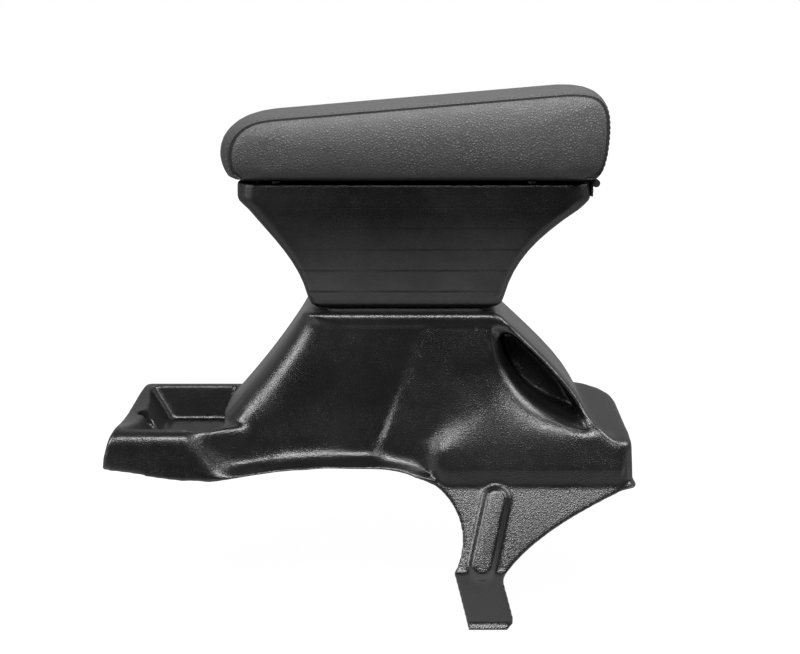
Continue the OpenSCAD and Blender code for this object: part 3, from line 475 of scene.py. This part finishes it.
def plainMaterial(name, colours, roughness, metallic=0.0, specular=0.5, scale=300.0, relief=0.00005,
        stretch=(1.0, 1.0, 1.0), detail=4.0):
    # Noise in colour, roughness and height, drawn out along an axis for brushed or veined stock
    material, tree, shader, vector = newMaterial(name, roughness[0], specular, metallic)
    mapping = addNode(tree, "ShaderNodeMapping")
    mapping.inputs["Scale"].default_value = stretch
    tree.links.new(vector, mapping.inputs["Vector"])
    pattern = noise(tree, mapping.outputs["Vector"], scale, detail, 0.6)
    spread = mapTo(tree, pattern.outputs["Fac"], 0.32, 0.68)
    touch = placeGroup(tree, handling, vector, Patch_size=30.0, Edge=0.53)
    ground = mixColours(tree, spread, colours[0], colours[1])
    rubbed = math2(tree, "MULTIPLY", touch.outputs["Rubbed"], 0.3)
    tree.links.new(mixColours(tree, rubbed, ground, colours[2]), shader.inputs["Base Color"])
    tree.links.new(mapTo(tree, spread, 0.0, 1.0, *roughness), shader.inputs["Roughness"])
    addBump(tree, shader, pattern.outputs["Fac"], relief, 0.5)
    return material


def greys(*levels):
    return [(level, level, level) for level in levels]


steel = plainMaterial("zinc plated steel", [(0.46, 0.46, 0.48), (0.58, 0.58, 0.59), (0.72, 0.72, 0.73)],
    (0.28, 0.42), metallic=1.0, scale=500.0, stretch=(1.0, 0.12, 1.0))
hingeSteel = plainMaterial("black coated steel", greys(0.012, 0.02, 0.12), (0.35, 0.5), metallic=0.3,
    scale=800.0)
plywood = plainMaterial("bare plywood", [(0.42, 0.29, 0.16), (0.58, 0.43, 0.26), (0.66, 0.52, 0.35)],
    (0.6, 0.75), scale=140.0, relief=0.0002, stretch=(0.12, 1.0, 1.6))
spacerPlastic = plainMaterial("black spacer", greys(0.006, 0.009, 0.02), (0.55, 0.7), scale=600.0)
catchPlastic = plainMaterial("catch plastic", greys(0.014, 0.02, 0.05), (0.4, 0.5), scale=700.0)
felt = plainMaterial("black lining felt", [(0.01, 0.01, 0.011), (0.026, 0.026, 0.028), (0.03, 0.03, 0.03)],
    (0.85, 0.95), scale=1600.0, relief=0.0004, specular=0.2)
matRubber = plainMaterial("floor mat", [(0.015, 0.015, 0.016), (0.028, 0.028, 0.03), (0.035, 0.035, 0.035)],
    (0.7, 0.85), scale=1200.0, relief=0.0003, specular=0.3)
bufferRubber = plainMaterial("buffer rubber", greys(0.008, 0.013, 0.02), (0.6, 0.7), scale=900.0)
magnetMaterial = plainMaterial("sintered magnet",
    [(0.09, 0.09, 0.095), (0.13, 0.13, 0.135), (0.2, 0.2, 0.2)],
    (0.5, 0.65), metallic=0.6, scale=1500.0)
foamMaterial = plainMaterial("open foam", [(0.6, 0.54, 0.38), (0.7, 0.64, 0.47), (0.74, 0.7, 0.55)],
    (0.85, 0.95), scale=1100.0, relief=0.0006, specular=0.2)
threadMaterial = plainMaterial("stitching thread", greys(0.014, 0.022, 0.05), (0.55, 0.7),
    scale=2500.0, relief=0.0001, stretch=(1.0, 3.0, 1.0))

finishes = {
    "neck_stiffener": plywood, "box_spacer": spacerPlastic, "box_floor_mat": matRubber,
    "catch_housing": catchPlastic, "catch_magnet": magnetMaterial, "lid_board": plywood,
    "lid_foam": foamMaterial, "lid_lining": felt, "lid_buffers": bufferRubber,
    "hinge_box_leaf": hingeSteel, "hinge_lid_leaf": hingeSteel, "hinge_pin": hingeSteel,
    "hinge_box_screws": hingeSteel, "catch_strike": hingeSteel,
}
for nodeName, node in nodes.items():
    node.data.materials.clear()
    node.data.materials.append(finishes.get(nodeName, steel))
print("materials ready:", len(bpy.data.materials))


def finishPiece(piece, material, body, slotName, *replaced):
    piece.data.materials.clear()
    piece.data.materials.append(material)
    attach(piece, body)
    if replaced:
        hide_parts(*replaced)


# Base and box: the wall and the regions are given in millimetres

baseSheet = dict(voxel=1.5 * mm, softness=9, triangles=190000,
    wall=dict(foot=-80.9, footZ=50, lean=0.286, neckFoot=-74.6, neckLean=0.133, ridgeX=50, ridgeZ=56,
        ridgeRise=0.67, blend=8, span=(66, 152, 22), reach=20, sheet=3),
    regions=[
        dict(low=(-60, -130, 24), high=(50, -20, 120), fade=14, turns=70),
        dict(low=(-125, -130, 26), high=(-66, -20, 124), fade=16, turns=420),
        dict(low=(30, -130, 24), high=(215, -62, 86), fade=8, turns=50),
        dict(low=(40, -130, 44), high=(126, -62, 104), fade=12, turns=300),
        dict(low=(92, -130, 50), high=(168, -58, 132), fade=8, turns=300),
        dict(low=(-250, -130, 14), high=(-185, -60, 40), fade=8, turns=50),
        dict(low=(-182, -130, 4), high=(-96, -50, 44), fade=8, turns=190),
        dict(low=(-112, -130, 13), high=(30, -60, 34), fade=5, turns=170),
        dict(low=(120, -40, 20), high=(230, 130, 70), fade=10, turns=30),
        dict(low=(-260, -140, -40), high=(-110, 20, 13), fade=4, turns=70),
    ])
base = formedSheet("formed_base", "base_shell", baseSheet)
finishPiece(base, sheetMaterial, "base", "formed_sheet", "base_shell")
print("base formed")

boxWall = dict(voxel=1.5 * mm, softness=5, triangles=150000)
box = formedSheet("storage_box", "box_shell", boxWall)
finishPiece(box, boxPlastic, "base", "box_plastic", "box_shell")
print("box formed")


# Lid cover: one stuffed form, cut and drawn in along its seams

cover = dict(voxel=1.6 * mm, softness=6, lastSoftness=4, triangles=120000, seamY=67.2 * mm,
    seamDepth=2.1 * mm, seamHalf=1.3 * mm, shoulder=2.6 * mm, lineHalf=1.95 * mm, lineFoot=4 * mm,
    stitchInset=7.0 * mm, stitchStep=4.6 * mm, stitchLength=3.1 * mm, stitchRadius=0.45 * mm,
    stitchFoot=6 * mm, pillow=32 * mm, tuck=2 * mm, tuckHeight=24 * mm)


def selectVertices(piece, test):
    # Edit mode must be on
    mesh = bmesh.from_edit_mesh(piece.data)
    for vertex in mesh.verts:
        vertex.select = test(vertex)
    mesh.select_flush_mode()
    bmesh.update_edit_mesh(piece.data)


def cutAcross(y):
    bpy.ops.mesh.select_all(action="SELECT")
    bpy.ops.mesh.bisect(plane_co=(0, y, 0), plane_no=(0, 1, 0), use_fill=False)


def outlineAt(piece, y):
    # The cover's outline at one y, as points in order round it
    cut = bmesh.new()
    cut.from_mesh(piece.data)
    found = bmesh.ops.bisect_plane(cut, geom=cut.verts[:] + cut.edges[:] + cut.faces[:],
        plane_co=(0, y, 0), plane_no=(0, 1, 0))["geom_cut"]
    edges = [item for item in found if isinstance(item, bmesh.types.BMEdge)]
    links = {}
    for edge in edges:
        first, second = edge.verts
        links.setdefault(first, []).append(second)
        links.setdefault(second, []).append(first)
    start = min(links, key=lambda v: v.co.x)
    ring, last, here = [start.co.copy()], None, start
    while True:
        ahead = [v for v in links[here] if v is not last]
        if not ahead or ahead[0] is start:
            break
        last, here = here, ahead[0]
        ring.append(here.co.copy())
    cut.free()
    return ring


def farFromOutline(ring, x, z):
    # Distance in side view from a point to the seam's outline, its flat underside left out
    nearest = 1.0
    for first, second in zip(ring, ring[1:] + ring[:1]):
        if first.z < underside + 2 * mm and second.z < underside + 2 * mm:
            continue
        run, rise = second.x - first.x, second.z - first.z
        length = run * run + rise * rise
        if length < 1e-14:
            continue
        along = max(0.0, min(1.0, ((x - first.x) * run + (z - first.z) * rise) / length))
        gap = math.hypot(x - first.x - along * run, z - first.z - along * rise)
        nearest = min(nearest, gap)
    return nearest


def plumpSides(piece, outer):
    # The side panels swell from their seams as a stuffed cover does, and draw in again low down
    for side in (-1, 1):
        ring = outlineAt(outer, side * cover["seamY"])[::6]
        for vertex in piece.data.vertices:
            out = vertex.co.y * side - cover["seamY"]
            if out <= 0:
                continue
            depth = min(1.0, farFromOutline(ring, vertex.co.x, vertex.co.z) / cover["pillow"])
            swell = sideBulge * math.sqrt(max(0.0, 1.0 - (1.0 - depth) ** 2.2))
            low = max(0.0, 1.0 - (vertex.co.z - underside) / cover["tuckHeight"])
            vertex.co.y = side * (cover["seamY"] + min(out, swell - cover["tuck"] * low * low, sideBulge))


def buildCover():
    piece = copyNodes("lid_cover", "cover_top_panel", "cover_near_panel", "cover_far_panel",
        "lid_foam", "lid_board")
    remesh(piece, cover["voxel"])
    keepLargestShell(piece)
    smoothOut(piece, cover["softness"])
    plumpSides(piece, piece)
    smoothOut(piece, cover["lastSoftness"])
    thinTo(piece, cover["triangles"])
    makeActive(piece)
    bpy.ops.object.mode_set(mode="EDIT")
    for side in (-1, 1):
        for offset in (-cover["shoulder"], -cover["seamHalf"], 0, cover["seamHalf"], cover["shoulder"]):
            cutAcross(side * cover["seamY"] + offset)
    for side in (-1, 1):
        seam = side * cover["seamY"]
        bpy.ops.mesh.select_all(action="DESELECT")
        selectVertices(piece, lambda v: abs(v.co.y - seam) < 0.02 * mm and v.co.z > underside + 1 * mm)
        bpy.ops.transform.shrink_fatten(value=-cover["seamDepth"])
    bpy.ops.object.mode_set(mode="OBJECT")
    bpy.ops.object.shade_smooth()
    return piece


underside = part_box("cover_top_panel")[0].z
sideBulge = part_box("cover_far_panel")[1].y - cover["seamY"]
paintSeamShadowAndLowShade(coverMaterial, cover["seamY"], cover["lineHalf"], underside + cover["lineFoot"])
lidCover = buildCover()
print("cover sewn")


def walkOutline(ring, step):
    # Places and headings at even steps along the outline
    places, carried = [], 0.0
    for first, second in zip(ring, ring[1:] + ring[:1]):
        length = (second - first).length
        if length < 1e-9:
            continue
        heading = (second - first) / length
        at = step - carried
        while at <= length:
            places.append((first + heading * at, heading))
            at += step
        carried = length - (at - step)
    return places


def buildStitches(name):
    # One stitch, copied along the seam on the top panel's side
    radius, length = cover["stitchRadius"], cover["stitchLength"]
    bpy.ops.mesh.primitive_uv_sphere_add(segments=8, ring_count=6, radius=radius)
    stitch = bpy.context.active_object
    bpy.ops.object.mode_set(mode="EDIT")
    selectVertices(stitch, lambda v: v.co.z > 0)
    bpy.ops.transform.translate(value=(0, 0, length / 2 - radius))
    selectVertices(stitch, lambda v: v.co.z < 0)
    bpy.ops.transform.translate(value=(0, 0, radius - length / 2))
    bpy.ops.object.mode_set(mode="OBJECT")
    shape = stitch.data
    whole = bmesh.new()
    for side in (-1, 1):
        y = side * (cover["seamY"] - cover["stitchInset"])
        for place, heading in walkOutline(outlineAt(lidCover, y), cover["stitchStep"]):
            if place.z < underside + cover["stitchFoot"]:
                continue
            single = bmesh.new()
            single.from_mesh(shape)
            turn = heading.to_track_quat("Z", "Y").to_matrix().to_4x4()
            single.transform(Matrix.Translation(place) @ turn)
            part = bpy.data.meshes.new("stitch")
            single.to_mesh(part)
            single.free()
            whole.from_mesh(part)
            bpy.data.meshes.remove(part)
    bpy.data.objects.remove(stitch)
    mesh = bpy.data.meshes.new(name)
    whole.to_mesh(mesh)
    whole.free()
    piece = bpy.data.objects.new(name, mesh)
    bpy.context.scene.collection.objects.link(piece)
    makeActive(piece)
    bpy.ops.object.shade_smooth()
    return piece


pad = dict(voxel=2.4 * mm, softness=6, inset=2.2 * mm, triangles=12000)
foamPad = copyNodes("foam_pad", "lid_foam")
remesh(foamPad, pad["voxel"])
plumpSides(foamPad, lidCover)
smoothOut(foamPad, pad["softness"])
applyModifier(foamPad, "DISPLACE", strength=-pad["inset"], mid_level=0.0)
thinTo(foamPad, pad["triangles"])

stitches = buildStitches("cover_stitches")
finishPiece(lidCover, coverMaterial, "lid", "cover_leather", "cover_top_panel", "cover_near_panel",
    "cover_far_panel")
finishPiece(foamPad, foamMaterial, "lid", "foam", "lid_foam")
finishPiece(stitches, threadMaterial, "lid", "cover_leather")
print("stitches placed")


# Studio: pale floor, white surround, soft lamps, and the camera

studio = dict(floorGap=0.4 * mm, floorSize=12.0, floorColour=(0.12, 0.12, 0.12, 1), white=1.0,
    skyLight=0.3, skyTop=0.9, lowLight=0.02, glossyShare=0.2, floorGlow=1.1, shadowShare=0.1,
    shadowFrom=0.15, shadowReach=0.5, mirrorShare=0.9, nearGlow=0.05, underGlow=1.6, backGlow=0.45,
    underSpan=(-0.55, -0.3), backSpan=(-0.05, 0.1), skyBackSpan=(0.05, 0.5))
# Soft lamps light the surfaces, gloss lamps are mirrored in them
lamps = [
    dict(name="key", place=(-0.05, -1.05, 1.35), target=(0, 0, 0.1), size=(1.5, 0.5),
        power=84, soft=True, gloss=False),
    dict(name="top", place=(0.2, 0.5, 1.6), target=(0, 0, 0.2), size=(1.2, 0.5),
        power=9, soft=True, gloss=True),
    dict(name="front", place=(0.0, -1.47, 1.34), target=(0, 0, 0.0), size=(1.7, 0.36),
        power=60, soft=False, gloss=True),
    dict(name="right", place=(1.3, -0.15, 1.15), target=(0, 0, 0.1), size=(0.6, 1.0),
        power=30, soft=False, gloss=True),
    dict(name="left", place=(-1.45, -0.6, 0.8), target=(0, 0, 0.1), size=(0.5, 1.0),
        power=26, soft=False, gloss=True),
]
view = dict(place=(0.0, -1.221, 0.385), pitch=12.0, pixelsWide=800, focalPixels=1342.0)


def raysSeen(tree):
    # 1 for rays from the camera or through glass, and 1 for rays off a glossy surface
    path = addNode(tree, "ShaderNodeLightPath")
    seen = math2(tree, "ADD", path.outputs["Is Camera Ray"], path.outputs["Is Transmission Ray"])
    return math2(tree, "MINIMUM", seen, 1.0), path.outputs["Is Glossy Ray"]


def buildWorld():
    world = bpy.data.worlds.new("studio")
    bpy.context.scene.world = world
    world.use_nodes = True
    tree = world.node_tree
    background = tree.nodes["Background"]
    background.inputs["Color"].default_value = (1, 1, 1, 1)
    parts = addNode(tree, "ShaderNodeSeparateXYZ")
    tree.links.new(addNode(tree, "ShaderNodeTexCoord").outputs["Generated"], parts.inputs[0])
    sky = mapTo(tree, parts.outputs["Z"], 0.0, studio["skyTop"], studio["lowLight"], studio["skyLight"],
        smooth=True)
    seen, mirrored = raysSeen(tree)
    behind = mapTo(tree, parts.outputs["Y"], *studio["skyBackSpan"], 0.0, studio["backGlow"], smooth=True)
    dimmed = math2(tree, "ADD",
        math2(tree, "MULTIPLY", sky, mapTo(tree, mirrored, 0.0, 1.0, 1.0, studio["glossyShare"])),
        math2(tree, "MULTIPLY", behind, mirrored))
    hidden = math2(tree, "MULTIPLY", dimmed, math2(tree, "SUBTRACT", 1.0, seen))
    tree.links.new(math2(tree, "ADD", hidden, math2(tree, "MULTIPLY", seen, studio["white"])),
        background.inputs["Strength"])


def buildFloor():
    bpy.ops.mesh.primitive_plane_add(size=studio["floorSize"],
        location=(0, 0, cadLow.z - studio["floorGap"]))
    floor = bpy.context.active_object
    floor.name = "studio_floor"
    material, tree, shader, vector = newMaterial("pale floor", 0.9, 0.0)
    shader.inputs["Base Color"].default_value = studio["floorColour"]
    glow = addNode(tree, "ShaderNodeEmission")
    glow.inputs["Strength"].default_value = studio["floorGlow"]
    reach = addNode(tree, "ShaderNodeVectorMath", operation="LENGTH")
    tree.links.new(vector, reach.inputs[0])
    share = mapTo(tree, reach.outputs["Value"], studio["shadowFrom"], studio["shadowReach"],
        1.0 - studio["shadowShare"], 1.0, smooth=True)
    seen, mirrored = raysSeen(tree)
    mix = addNode(tree, "ShaderNodeMixShader")
    tree.links.new(math2(tree, "MULTIPLY", seen, share), mix.inputs[0])
    tree.links.new(shader.outputs[0], mix.inputs[1])
    tree.links.new(glow.outputs[0], mix.inputs[2])
    # What glossy surfaces mirror: dim near the camera, bright under the part, dim again behind it
    dark = addNode(tree, "ShaderNodeEmission")
    parts = addNode(tree, "ShaderNodeSeparateXYZ")
    tree.links.new(vector, parts.inputs[0])
    under = mapTo(tree, parts.outputs["Y"], *studio["underSpan"], studio["nearGlow"], studio["underGlow"],
        smooth=True)
    beyond = mapTo(tree, parts.outputs["Y"], *studio["backSpan"], 1.0,
        studio["backGlow"] / studio["underGlow"], smooth=True)
    tree.links.new(math2(tree, "MULTIPLY", under, beyond), dark.inputs["Strength"])
    last = addNode(tree, "ShaderNodeMixShader")
    tree.links.new(math2(tree, "MULTIPLY", mirrored, studio["mirrorShare"]), last.inputs[0])
    tree.links.new(mix.outputs[0], last.inputs[1])
    tree.links.new(dark.outputs[0], last.inputs[2])
    tree.links.new(last.outputs[0], tree.nodes["Material Output"].inputs["Surface"])
    floor.data.materials.append(material)


def addLamp(lamp):
    light = bpy.data.lights.new(lamp["name"], "AREA")
    light.shape = "RECTANGLE"
    light.size, light.size_y = lamp["size"]
    light.energy = lamp["power"]
    holder = bpy.data.objects.new(lamp["name"], light)
    holder.location = lamp["place"]
    aim = Vector(lamp["target"]) - Vector(lamp["place"])
    holder.rotation_euler = aim.to_track_quat("-Z", "Y").to_euler()
    holder.visible_camera = False
    holder.visible_diffuse = lamp["soft"]
    holder.visible_glossy = lamp["gloss"]
    bpy.context.scene.collection.objects.link(holder)


buildWorld()
buildFloor()
for lamp in lamps:
    addLamp(lamp)

lens = bpy.data.cameras.new("camera")
lens.sensor_fit = "HORIZONTAL"
lens.lens = lens.sensor_width * view["focalPixels"] / view["pixelsWide"]
camera = bpy.data.objects.new("camera", lens)
camera.location = view["place"]
camera.rotation_euler = (math.radians(90 - view["pitch"]), 0, 0)
bpy.context.scene.collection.objects.link(camera)
bpy.context.scene.camera = camera
bpy.context.scene.view_settings.view_transform = "Standard"
print("studio ready")
